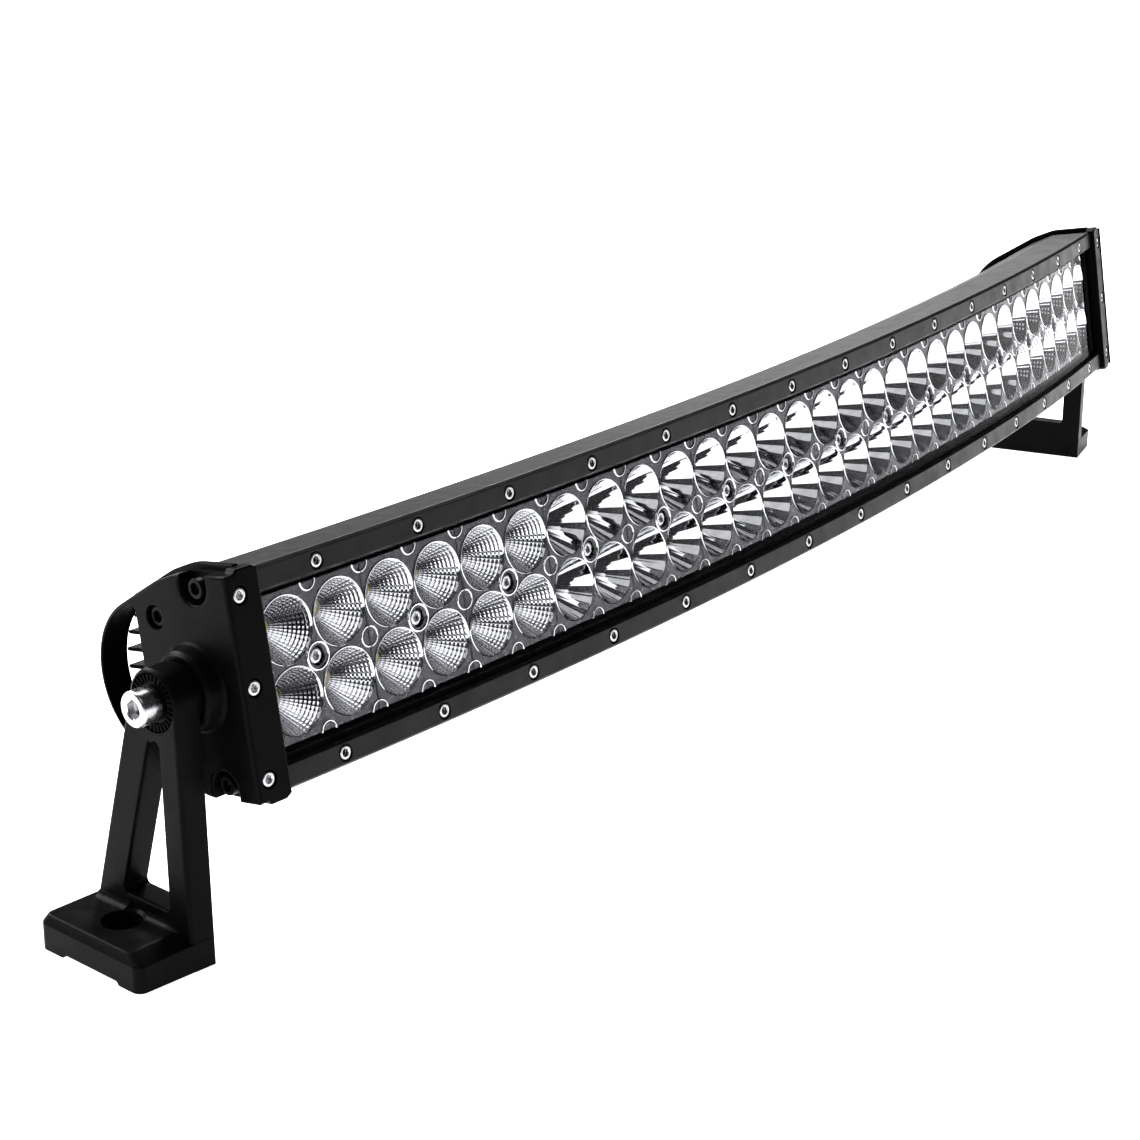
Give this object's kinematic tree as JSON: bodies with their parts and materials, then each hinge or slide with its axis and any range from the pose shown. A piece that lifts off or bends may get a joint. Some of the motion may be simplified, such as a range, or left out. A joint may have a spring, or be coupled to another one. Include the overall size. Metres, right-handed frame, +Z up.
{
  "type": "led light bar",
  "caption": "Curved LED light bar with a double row of reflector cups behind a clear lens, a finned heat sink and two swivelling cast feet.",
  "frame": {"origin": "on the mounting plane, midway between the two foot bolts", "axes": "+X along the bar, -Y the side the light leaves from, +Z up, away from the mounting plane"},
  "size_m": [0.8696, 0.1121, 0.1443],
  "materials": {
    "powder_coat": "fine black powder coat over extruded aluminium",
    "cast_coat": "satin black coat over die-cast aluminium",
    "stainless": "plain stainless steel",
    "black_steel": "black oxide over steel",
    "silicone": "matte black silicone",
    "mirror_coat": "vacuum-metallised mirror finish",
    "led_board": "white solder mask over aluminium",
    "led": "yellow phosphor under a clear silicone dome",
    "driver_board": "green solder mask",
    "lens": "clear polished polycarbonate",
    "nylon": "moulded black nylon"
  },
  "bodies": {
    "light_bar": {"housing": "powder_coat", "bezel_top": "powder_coat", "bezel_bottom": "powder_coat", "lens": "lens", "lens_gasket": "silicone", "end_trim_left": "cast_coat", "end_trim_right": "cast_coat", "reflector_01": "mirror_coat", "reflector_02": "mirror_coat", "reflector_03": "mirror_coat", "reflector_04": "mirror_coat", "reflector_05": "mirror_coat", "reflector_06": "mirror_coat", "reflector_07": "mirror_coat", "reflector_08": "mirror_coat", "reflector_09": "mirror_coat", "reflector_10": "mirror_coat", "reflector_11": "mirror_coat", "reflector_12": "mirror_coat", "reflector_13": "mirror_coat", "reflector_14": "mirror_coat", "reflector_15": "mirror_coat", "led_board_1": "led_board", "led_board_2": "led_board", "led_board_3": "led_board", "led_board_4": "led_board", "led_board_5": "led_board", "led_chips": "led", "reflector_screws": "stainless", "bezel_screws_top": "stainless", "bezel_screws_bottom": "stainless", "end_trim_screws_left": "stainless", "end_trim_screws_right": "stainless", "end_cap_left": "cast_coat", "end_cap_right": "cast_coat", "end_gasket_left": "silicone", "end_gasket_right": "silicone", "end_cap_screws_left": "black_steel", "end_cap_screws_right": "black_steel", "pivot_insert_left": "stainless", "pivot_insert_right": "stainless", "pivot_bolt_left": "stainless", "pivot_bolt_right": "stainless", "driver_board_left": "driver_board", "driver_board_right": "driver_board", "cable_gland_body": "nylon", "cable_gland_seal": "silicone", "cable_gland_nut": "nylon", "breather_vent": "nylon"},
    "left_leg": {"leg_left": "cast_coat"},
    "right_leg": {"leg_right": "cast_coat"}
  },
  "joints": [
    {"name": "left_leg_pivot", "type": "hinge", "parent": "light_bar", "child": "left_leg", "pos_m": [-0.39445, -0.01758, 0.0962], "axis": [0.9853, -0.1683, 0.0297], "continuous": true},
    {"name": "right_leg_pivot", "type": "hinge", "parent": "light_bar", "child": "right_leg", "pos_m": [0.39445, -0.01758, 0.0962], "axis": [0.9853, 0.1683, -0.0297], "continuous": true}
  ]
}
